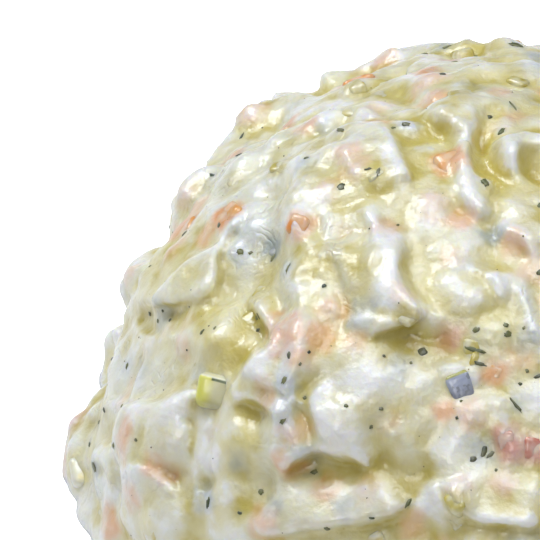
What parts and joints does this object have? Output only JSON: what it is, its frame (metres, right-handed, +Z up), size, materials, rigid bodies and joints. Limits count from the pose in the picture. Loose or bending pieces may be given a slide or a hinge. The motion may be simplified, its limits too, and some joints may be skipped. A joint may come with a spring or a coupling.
{
  "type": "vegetable spread",
  "caption": "Round heap of creamy vegetable spread with fine dice of carrot, pickle, courgette and pepper showing, on a flat underside.",
  "frame": {"origin": "middle of the flat underside, on the surface that the heap rests on", "axes": "+Z up, -Y towards the viewer of the reference picture, +X to that viewer's right"},
  "size_m": [0.1, 0.1005, 0.0452],
  "materials": {
    "cream": "wet, glossy pale cream dressing over finely diced vegetables"
  },
  "bodies": {
    "root": {"spread_heap": "cream"}
  },
  "joints": []
}
